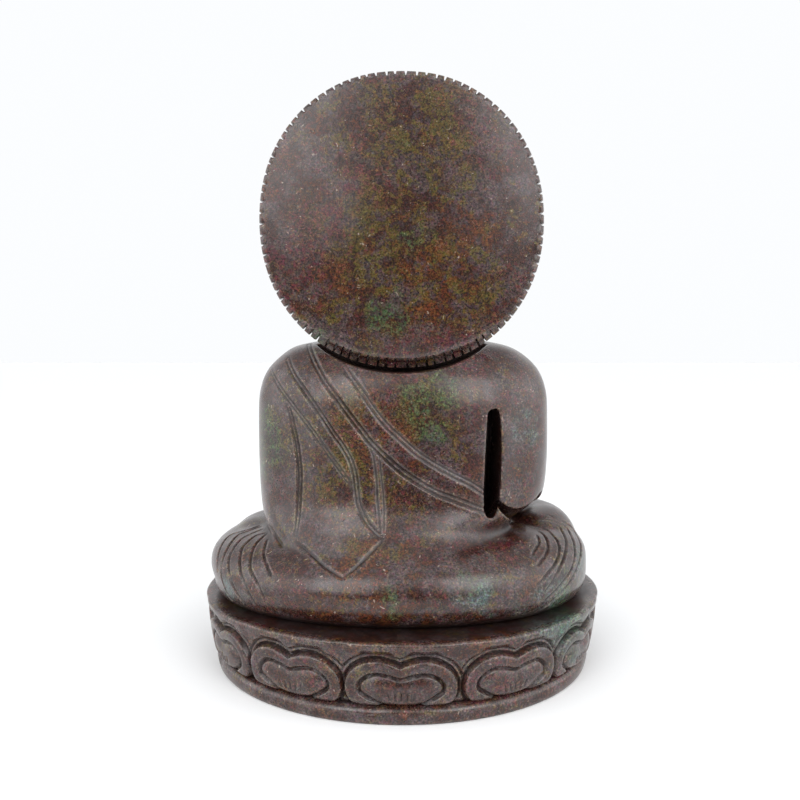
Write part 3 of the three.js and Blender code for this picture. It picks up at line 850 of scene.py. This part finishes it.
# %% The base wrapped round its oval
WALL_ROWS = 58
WALL_TOP = 23.6
turn = np.pi / 2 + turns(PETALS * PER_PETAL)
petal_place = (turn - np.pi / 2) / (2 * np.pi) * PETALS + 0.5
petal_share = petal_place % 1 * 2 - 1
number = np.floor(petal_place).astype(int) % PETALS
dice = np.random.default_rng(21)
lean_each = dice.uniform(-0.06, 0.06, PETALS)[number]
shift_each = dice.uniform(-0.3, 0.3, PETALS)[number]
rise_each = dice.uniform(-0.3, 0.3, PETALS)[number]
chips = np.clip(waves(turn, 14, 5, 5, 41), -1, 1)
chips = 0.7 * chips + 1.3 * np.clip(waves(turn, 9, 9, 11, 37) - 0.55, 0, 1)
ring_top = RING_HEIGHT - 0.3 + 0.35 * waves(turn, 5, 2, 1, 5) - 1.1 * np.clip(chips, 0, 2)

# Each row of the wall: its height, and how far it stands out from the oval
flat = np.zeros_like(turn)
rows = []
for z, proud in [(0, -0.7), (0.2, -0.3), (0.6, -0.05), (1.6, 0.05), (3, 0.05)]:
    rows.append((flat + z, flat + proud))
for drop, proud in [(2.5, 0.05), (1.9, -0.1), (1.3, -0.45), (0.8, -1), (0.3, -1.7), (0, -2.4), (-0.1, -3.1)]:
    rows.append((ring_top - drop, proud - 0.6 * np.clip(chips, 0, 1.5)))
for z in np.linspace(RING_HEIGHT + 0.1, WALL_TOP, WALL_ROWS):
    height = z - RING_HEIGHT - 0.5 + rise_each
    across = petal_share * PETAL_HALF + shift_each + lean_each * height
    relief = petal_relief(across, height)
    foot = -1.3 * bell(z - RING_HEIGHT + 0.1, 1.0)
    swell = 0.95 * ease(20.5, WALL_TOP, z) * ease(-1.2, -3, inwards(across, height))
    rows.append((flat + z, relief + foot + swell))
band_low = rows[-1][1]
for z, share, proud in [(24, 0.15, 0), (24.5, 0.4, 0), (25, 0.7, 0), (25.5, 0.9, 0), (26, 1, 0), (26.6, 1, 0),
                        (27.2, 1, -0.1), (27.5, 1, -0.35), (27.7, 1, -0.9), (27.75, 1, -2), (27.7, 1, -5)]:
    rows.append((flat + z, band_low * (1 - share) + share * (proud - 0.15)))
for inner in (9, 15, 24, 40):
    rows.append((flat + BASE_HEIGHT - 0.1, flat - inner))

height = np.stack([z for z, _ in rows])
proud = np.stack([p for _, p in rows])
between = np.abs(petal_share)[None] ** 6 * ease(20, 24, height) * ease(-3, -0.5, proud)
proud = proud + 0.3 * waves(turn, 6, 31, 2, 14)[None] * ease(0, 3, height) - 0.6 * between
height = height + 0.3 * waves(turn, 4, 33, 1, 9)[None] * ease(20, 27, height) - 0.3 * ease(20, 27, height)
lean = height / BASE_HEIGHT
x = (FOOT_HALF + (BASE_HALF - FOOT_HALF) * lean + proud) * np.cos(turn)
y = (FOOT_DEPTH + (BASE_DEPTH - FOOT_DEPTH) * lean + proud) * np.sin(turn)
base = skin(np.stack([x, y, height], axis=-1))
print("petals:", PETALS, "rings of points in the base:", len(rows))

# %% [markdown]
# ## One block
# Base, figure and halo are joined into one closed skin, because the real piece is one block.
# The folds are then pressed in, and the masks that the stone's finish, its painted shade and its painted
# highlight need are measured: how far a place is inside a line, beside one, in a hollow or on a worn edge,
# and where the groove under the lap lies.

# %% Joining the block
for name, form in (("base", base), ("halo", halo)):
    combine(figure, mesh_object(name, [form]), "UNION")
print("points in the block:", len(figure.data.vertices))


# %% Small facets where the chisel went
def refine(thing, laid, reach):
    """Splits the faces near a line into triangles, then halves every edge that lies near it."""
    mesh = thing.data
    near = np.zeros(len(mesh.vertices), dtype=bool)
    rows = near_lines(places(mesh), laid, reach)
    near[rows[rows[:, 2] < reach, 0].astype(int)] = True
    corners = near[read(mesh.loops, "vertex_index")].astype(int)
    touched = np.flatnonzero(np.add.reduceat(corners, read(mesh.polygons, "loop_start")))
    shape = bmesh.new()
    shape.from_mesh(mesh)
    shape.faces.ensure_lookup_table()
    bmesh.ops.triangulate(shape, faces=[shape.faces[i] for i in touched])
    chosen = [side for side in shape.edges if near[side.verts[0].index] and near[side.verts[1].index]]
    bmesh.ops.subdivide_edges(shape, edges=chosen, cuts=1)
    bmesh.ops.triangulate(shape, faces=[face for face in shape.faces if len(face.verts) > 4])
    shape.to_mesh(mesh)
    shape.free()


REFINED = 2.6
refine(figure, laid, REFINED)
print("points after refining:", len(figure.data.vertices))

# %% Pressing in the folds
mesh = figure.data
points = places(mesh)
outward = directions(mesh)
depth, lip, groove, edge = line_marks(points, laid)
outside_base = ease(26, 28, points[:, 2])
points = points + outward * ((lip - depth) * outside_base)[:, None]
mesh.vertices.foreach_set("co", points.astype(np.float32).ravel())
mesh.update()
print("deepest fold in mm:", round(float(depth.max()), 2))


# %% Masks for the finish, the painted shade and the painted highlight
def mean_of_neighbours(values, ends, count):
    """For every point, the mean of the values at the points it shares an edge with."""
    total = np.bincount(ends[:, 0], values[ends[:, 1]], len(count))
    total += np.bincount(ends[:, 1], values[ends[:, 0]], len(count))
    return total / np.maximum(count, 1)


def bend(mesh, rounds):
    """Curvature: how far a point stands out from its neighbours' mean, over the edge length squared."""
    at, ends = places(mesh), read(mesh.edges, "vertices", np.int32, 2)
    count = np.bincount(ends.ravel(), minlength=len(at))
    length = ((at[ends[:, 0]] - at[ends[:, 1]]) ** 2).sum(axis=1)
    square = (np.bincount(ends[:, 0], length, len(at)) + np.bincount(ends[:, 1], length, len(at))) / count
    mean = np.stack([mean_of_neighbours(at[:, k], ends, count) for k in range(3)], axis=-1)
    value = 4 * ((at - mean) * directions(mesh)).sum(axis=1) / np.maximum(square, 1e-6)
    for _ in range(rounds):
        value = 0.5 * value + 0.5 * mean_of_neighbours(value, ends, count)
    return value


def keep(mesh, name, values):
    """Keeps a number for each point of the mesh under a name."""
    mesh.attributes.new(name, "FLOAT", "POINT").data.foreach_set("value", values.astype(np.float32))


fine_bend = bend(mesh, 3)
broad_bend = bend(mesh, 24)
keep(mesh, "line", groove * outside_base)
# The lips beside the lines and the convex edges are paled later: handling wear, plus a painted highlight
# where light catches them.
keep(mesh, "lip", edge * (1 - groove) * outside_base)
keep(mesh, "worn", ease(0.12, 0.9, fine_bend))
# Darkened later as "sunk": concave places stand for wax and dust plus painted shade; the groove where the lap
# meets the top of the base is painted shade only, as if in the lap's shadow.
from_middle = np.hypot(points[:, 0] / BASE_HALF, points[:, 1] / BASE_DEPTH)
lap_groove_shade = bell(points[:, 2] - 28.4, 2.2) * ease(0.97, 0.9, from_middle)
keep(mesh, "sunk", np.maximum(ease(-0.10, -0.75, fine_bend), lap_groove_shade))
# Broad hollows, darkened later: wax and dust, plus painted shade where shade falls.
keep(mesh, "hollow", ease(-0.03, -0.3, broad_bend))
print("curvature from", round(float(fine_bend.min()), 2), "to", round(float(fine_bend.max()), 2))

# %% Fewer facets where the stone is smooth
LIMIT = 188000
SHARP = np.radians(50)
shape = bmesh.new()
shape.from_mesh(mesh)
bmesh.ops.triangulate(shape, faces=shape.faces)
shape.to_mesh(mesh)
shape.free()
thin = figure.modifiers.new("thin", "DECIMATE")
thin.ratio = min(1.0, LIMIT / len(mesh.polygons))
settle(figure)
stone_mesh = figure.data
points = places(stone_mesh) * MM
stone_mesh.vertices.foreach_set("co", points.astype(np.float32).ravel())
stone_mesh.polygons.foreach_set("use_smooth", np.ones(len(stone_mesh.polygons), dtype=bool))
stone_mesh.update()
figure.name = "carved_stone"
stone_mesh.name = "carved_stone"
shape = bmesh.new()
shape.from_mesh(stone_mesh)
pinched = sum(1 for side in shape.edges if len(side.link_faces) > 2)
edge_of_skin = sum(1 for side in shape.edges if len(side.link_faces) < 2)
for side in shape.edges:
    side.smooth = bool(side.calc_face_angle(0.0) < SHARP)
shape.to_mesh(stone_mesh)
shape.free()
print("triangles in the stone:", len(stone_mesh.polygons))
print("edges with one face:", edge_of_skin, "with more than two:", pinched)
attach(figure, "root")
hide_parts("statuette")

# %% [markdown]
# ## The finish: mottled stone, rubbed and waxed
# The block is one stone all through, so its colours run across base, figure and halo alike. They
# are worked out from the place in space, not painted on the skin. Wax and dust, plus painted shade, darken
# the cuts and hollows, and handling wear, plus a painted highlight, makes the edges a little paler.

# %% Arithmetic on shader values
class Amount:
    """A number that changes over the stone: a shader socket that ordinary arithmetic works on."""

    def __init__(self, recipe, socket):
        self.recipe, self.socket = recipe, socket

    def maths(self, operation, *values):
        return self.recipe.node("ShaderNodeMath", {"operation": operation}, list(enumerate(values)))

    def __add__(self, other):
        return self.maths("ADD", self, other)

    def __sub__(self, other):
        return self.maths("SUBTRACT", self, other)

    def __rsub__(self, other):
        return self.maths("SUBTRACT", other, self)

    def __mul__(self, other):
        return self.maths("MULTIPLY", self, other)

    __radd__ = __add__
    __rmul__ = __mul__

    def most(self, other):
        """The larger of the two."""
        return self.maths("MAXIMUM", self, other)

    def size(self):
        """The number without its sign."""
        return self.maths("ABSOLUTE", self)

    def ease(self, low, high):
        """The same ease as in the forms, by a Map Range set to smooth steps."""
        return self.recipe.node(
            "ShaderNodeMapRange", {"interpolation_type": "SMOOTHSTEP"},
            [("Value", self), ("From Min", low), ("From Max", high)])


class Recipe:
    """Builds one material or one surrounding, node by node."""

    def __init__(self, thing):
        thing.use_nodes = True
        self.thing, self.tree = thing, thing.node_tree
        self.tree.nodes.clear()

    def node(self, kind, settings, inputs, output=0):
        """Adds a node: its settings first, then values or links for its inputs."""
        made = self.tree.nodes.new(kind)
        for name, value in settings.items():
            setattr(made, name, value)
        for name, value in inputs:
            if isinstance(value, Amount):
                self.tree.links.new(value.socket, made.inputs[name])
            else:
                made.inputs[name].default_value = value
        return Amount(self, made.outputs[output])

    def vector(self, operation, *values, output=0):
        """Arithmetic on places or colours."""
        return self.node("ShaderNodeVectorMath", {"operation": operation}, list(enumerate(values)), output)

    def scaled(self, first, factor):
        """A place or colour times one number."""
        return self.node("ShaderNodeVectorMath", {"operation": "SCALE"}, [(0, first), ("Scale", factor)])

    def noise(self, place, size, detail=4.0, rough=0.6, seed=0.0):
        """Cloudy noise about 0.5, whose patches are about size mm across."""
        return self.node("ShaderNodeTexNoise", {}, [
            ("Vector", self.vector("ADD", place, (seed, 2 * seed, -seed))),
            ("Scale", 1 / size), ("Detail", detail), ("Roughness", rough)])

    def three_noises(self, place, size, detail):
        """Three noises at once, as the three numbers of a place or colour."""
        return self.node("ShaderNodeTexNoise", {}, [
            ("Vector", place), ("Scale", 1 / size), ("Detail", detail)], output=1)

    def scatter(self, place, size):
        """Distance to the nearest of scattered points about size mm apart, as a share of that size."""
        return self.node("ShaderNodeTexVoronoi", {}, [("Vector", place), ("Scale", 1 / size)])

    def mix(self, amount, first, second, blend="MIX"):
        """The first colour turning into the second one."""
        return self.node("ShaderNodeMix", {"data_type": "RGBA", "blend_type": blend}, [
            (0, amount), (6, first), (7, second)], output=2)

    def kept(self, name):
        """A number kept on the mesh."""
        return self.node("ShaderNodeAttribute", {"attribute_name": name}, [], output=2)

    def end(self, kind, shader):
        """Leads the finished shader to the output, and gives back what was built."""
        ending = self.tree.nodes.new(kind)
        self.tree.links.new(shader.socket, ending.inputs["Surface"])
        return self.thing


def colour(red, green, blue):
    """A colour from screen values of 0 to 255, in the linear light that shaders use."""
    screen = np.array([red, green, blue]) / 255
    linear = np.where(screen < 0.04045, screen / 12.92, ((screen + 0.055) / 1.055) ** 2.4)
    return (*linear.tolist(), 1.0)


# %% The mottled stone
OBJECT_COORDINATES = 3
WARP = 26.0
WARP_SIZE = 11
stone = Recipe(bpy.data.materials.new("mottled stone"))
metres = stone.node("ShaderNodeTexCoord", {}, [], OBJECT_COORDINATES)
place = stone.scaled(metres, 1 / MM)
centred = stone.vector("SUBTRACT", stone.three_noises(place, WARP_SIZE, 3.0), (0.5, 0.5, 0.5))
warped = stone.vector("ADD", place, stone.scaled(centred, WARP))


def patch(centre, reach):
    """1 at a place in the block, fading to 0 at reach mm, with a ragged edge from the noise."""
    return stone.vector("DISTANCE", warped, centre, output=1).ease(reach, 0.35 * reach)


def patches(spots):
    """Several patches as one."""
    total = patch(*spots[0])
    for spot in spots[1:]:
        total = total.most(patch(*spot))
    return total


OLIVE_SPOTS = [((-2, 31, 205), 42), ((10, 31, 165), 40), ((-22, 31, 150), 30), ((25, 38, 88), 34),
               ((14, 45, 60), 20), ((-12, 38, 104), 24), ((60, 30, 100), 18)]
RUST_SPOTS = [((-8, 31, 146), 26), ((30, 31, 152), 16), ((14, 38, 100), 24), ((-26, 31, 170), 18),
              ((-45, 50, 38), 12), ((10, 55, 44), 26), ((-30, 62, 27), 10)]
GREEN_SPOTS = [((-4, 31, 166), 9), ((6, 31, 138), 9), ((32, 31, 131), 9), ((52, 24, 91), 15),
               ((-6, 38, 103), 13), ((-28, 50, 41), 10), ((-14, 38, 112), 9), ((52, 22, 78), 9),
               ((2, 60, 37), 7), ((-66, 42, 26), 16), ((30, -60, 20), 16), ((-20, -20, 210), 14)]
TEAL_SPOTS = [((-58, 50, 30), 20), ((-70, 40, 20), 18), ((-74, 30, 45), 16), ((-24, 58, 38), 9),
              ((64, 36, 34), 9), ((30, 64, 30), 8), ((-52, 30, 95), 9)]

broad = stone.noise(place, 24.0, 3.0, 0.55, 3.0)
middle = stone.noise(place, 8.0, 5.0, 0.65, 11.0)
other = stone.noise(place, 10.0, 6.0, 0.7, 29.0)
small = stone.noise(place, 2.6, 4.0, 0.7, 41.0)
veins = stone.noise(warped, 5.0, 5.0, 0.7, 91.0)
grain = stone.noise(place, 0.75, 3.0, 0.8, 57.0)
tint = stone.noise(place, 1.2, 3.0, 0.7, 71.0)

MAUVE = colour(66, 52, 52)
MAROON = colour(46, 22, 18)
OLIVE = colour(66, 55, 22)
RUST = colour(72, 38, 16)
GREEN = colour(44, 76, 48)
TEAL = colour(68, 86, 84)
MAGENTA = colour(62, 22, 33)
DARK = colour(13, 7, 6)
PALE = colour(150, 136, 124)
THREAD = colour(104, 84, 44)
DARKEST = (0.004, 0.002, 0.002)

ground = 0.55 * middle + 0.35 * small + 0.1 * tint
skin_tone = stone.mix(ground.ease(0.45, 0.53), MAUVE, MAROON)
olive = 0.5 * other + 0.38 * small + 0.12 * tint + 0.06 * patches(OLIVE_SPOTS)
skin_tone = stone.mix(0.85 * olive.ease(0.53, 0.59), skin_tone, OLIVE)
rust = 0.5 * veins + 0.38 * middle + 0.12 * tint + 0.07 * patches(RUST_SPOTS)
skin_tone = stone.mix(0.75 * rust.ease(0.54, 0.62), skin_tone, RUST)
magenta = 0.55 * small + 0.35 * broad + 0.1 * tint
skin_tone = stone.mix(0.75 * magenta.ease(0.53, 0.60), skin_tone, MAGENTA)
teal = patches(TEAL_SPOTS) * (0.6 * other + 0.4 * tint).ease(0.38, 0.60)
skin_tone = stone.mix(0.8 * teal, skin_tone, TEAL)
green = (patches(GREEN_SPOTS) * small.ease(0.36, 0.60)).most(other.ease(0.64, 0.76) * 0.6)
skin_tone = stone.mix(0.6 * green * tint.ease(0.35, 0.5), skin_tone, GREEN)
thread = (veins - 0.5).size().ease(0.016, 0.003) * broad.ease(0.45, 0.6)
skin_tone = stone.mix(0.45 * thread, skin_tone, THREAD)

# %% Wax and painted shade in the cuts and hollows, worn edges with a painted highlight, and specks
line, lip_mask, edge_wear_and_highlight_mask = stone.kept("line"), stone.kept("lip"), stone.kept("worn")
sunk, hollow_mask = stone.kept("sunk"), stone.kept("hollow")
# Painted shade and dirt: lines, concave places, broad hollows and the groove under the lap turn dark brown,
# for wax and dust in the cuts and for the shade that falls in them.
dirt_and_shade = (0.8 * line).most(0.65 * sunk).most(0.5 * hollow_mask)
skin_tone = stone.mix(dirt_and_shade, skin_tone, DARK)
# Painted highlight and wear: the lips beside the lines and the convex edges are paled, for handling wear and
# for the light that catches them.
wear_and_highlight = (0.04 * lip_mask).most(0.12 * edge_wear_and_highlight_mask) * small.ease(0.25, 0.55)
skin_tone = stone.mix(wear_and_highlight, skin_tone, PALE)
broad_shade = (0.6 * small + 0.4 * tint).ease(0.38, 0.60)
shade = (0.35 + 1.3 * grain.ease(0.36, 0.64)) * (0.6 + 0.8 * broad_shade)
speckle = stone.three_noises(place, 0.9, 2.0)
speckle = stone.vector("MULTIPLY_ADD", speckle, (1.3, 1.1, 1.2), (0.35, 0.45, 0.4))
skin_tone = stone.scaled(stone.vector("MULTIPLY", skin_tone, speckle), shade)
skin_tone = stone.vector("MAXIMUM", skin_tone, DARKEST)
larger = stone.scatter(warped, 3.2).ease(0.15, 0.09) * small.ease(0.45, 0.58)
tiny = stone.scatter(warped, 1.5).ease(0.20, 0.12) * other.ease(0.4, 0.6)
dots = larger.most(0.45 * tiny)
skin_tone = stone.mix(0.8 * dots * (1 - dirt_and_shade), skin_tone, PALE)
pits = stone.scatter(warped, 6.0).ease(0.10, 0.04)
relief = 0.35 * small + 0.3 * grain - 0.8 * pits
bump = stone.node("ShaderNodeBump", {}, [("Strength", 0.35), ("Distance", 0.00022), ("Height", relief)])
gloss = 0.10 + 0.16 * middle + 0.12 * grain + 0.3 * dirt_and_shade
shader = stone.node("ShaderNodeBsdfPrincipled", {}, [
    ("Base Color", skin_tone), ("Roughness", gloss), ("IOR", 1.52), ("Normal", bump)])
stone_mesh.materials.clear()
stone_mesh.materials.append(stone.end("ShaderNodeOutputMaterial", shader))
print("nodes in the stone:", len(stone.tree.nodes))

# %% [markdown]
# ## Floor, light and camera
# The floor is plain and pale and ends behind the camera. The surroundings are white past the figure,
# brighter at both sides, and dim behind the camera and overhead, so that the polished back of the
# halo mirrors a dark place and keeps its deep colour. Two tall soft lights put a sheen on its sides.
# The camera stands close behind the figure at shoulder height, as in the photograph.

# %% Floor
FLOOR = 4.0
NEAR_EDGE = 0.45
corners = [(-FLOOR, -FLOOR, 0), (FLOOR, -FLOOR, 0), (FLOOR, NEAR_EDGE, 0), (-FLOOR, NEAR_EDGE, 0)]
floor_mesh = bpy.data.meshes.new("floor")
floor_mesh.from_pydata(corners, [], [(0, 1, 2, 3)])
floor = bpy.data.objects.new("floor", floor_mesh)
bpy.context.scene.collection.objects.link(floor)
pale = Recipe(bpy.data.materials.new("pale floor"))
matt = pale.node("ShaderNodeBsdfPrincipled", {}, [("Base Color", (0.9, 0.9, 0.9, 1)), ("Roughness", 0.8)])
floor_mesh.materials.append(pale.end("ShaderNodeOutputMaterial", matt))
print("floor behind the figure in mm:", round(NEAR_EDGE / MM))


# %% Lights and camera
def soft_light(name, place, target, width, height, power):
    """A rectangular light at a place, turned towards a target."""
    data = bpy.data.lights.new(name, "AREA")
    data.shape = "RECTANGLE"
    data.size, data.size_y, data.energy = width, height, power
    lamp = bpy.data.objects.new(name, data)
    lamp.location = place
    lamp.rotation_euler = (Vector(target) - Vector(place)).to_track_quat("-Z", "Y").to_euler()
    bpy.context.scene.collection.objects.link(lamp)
    return lamp


MIDDLE = (0, 0, 0.14)
WIDE, TALL, POWER = 0.52, 0.72, 3.8
soft_light("left light", (0.40, 0.85, 0.62), MIDDLE, WIDE, TALL, POWER)
soft_light("right light", (-0.50, 0.85, 0.60), MIDDLE, WIDE, TALL, POWER)
room = Recipe(bpy.data.worlds.new("pale room"))
way = room.node("ShaderNodeTexCoord", {}, [])
back = room.node("ShaderNodeSeparateXYZ", {}, [(0, way)], output=1)
up = room.node("ShaderNodeSeparateXYZ", {}, [(0, way)], output=2)
sides = (1 + 1.5 * back.ease(-0.6, -0.05)) * (1 - 0.96 * back.ease(0.55, 0.95))
strength = sides * (1 - 0.6 * up.ease(0.42, 0.85))
glow = room.node("ShaderNodeBackground", {}, [("Color", (0.97, 0.985, 1, 1)), ("Strength", strength)])
bpy.context.scene.world = room.end("ShaderNodeOutputWorld", glow)

LENS = 33.75
SHIFT = -0.075
EYE = (0.00084, 0.315, 0.1285)
view = bpy.data.cameras.new("camera")
view.lens, view.sensor_width, view.shift_y = LENS, 36, SHIFT
view.clip_start = 0.01
camera = bpy.data.objects.new("camera", view)
camera.location = EYE
camera.rotation_euler = (np.pi / 2, 0, np.pi)
bpy.context.scene.collection.objects.link(camera)
bpy.context.scene.camera = camera
bpy.context.scene.view_settings.view_transform = "Standard"
print("camera distance in mm:", round(camera.location.y * 1000))
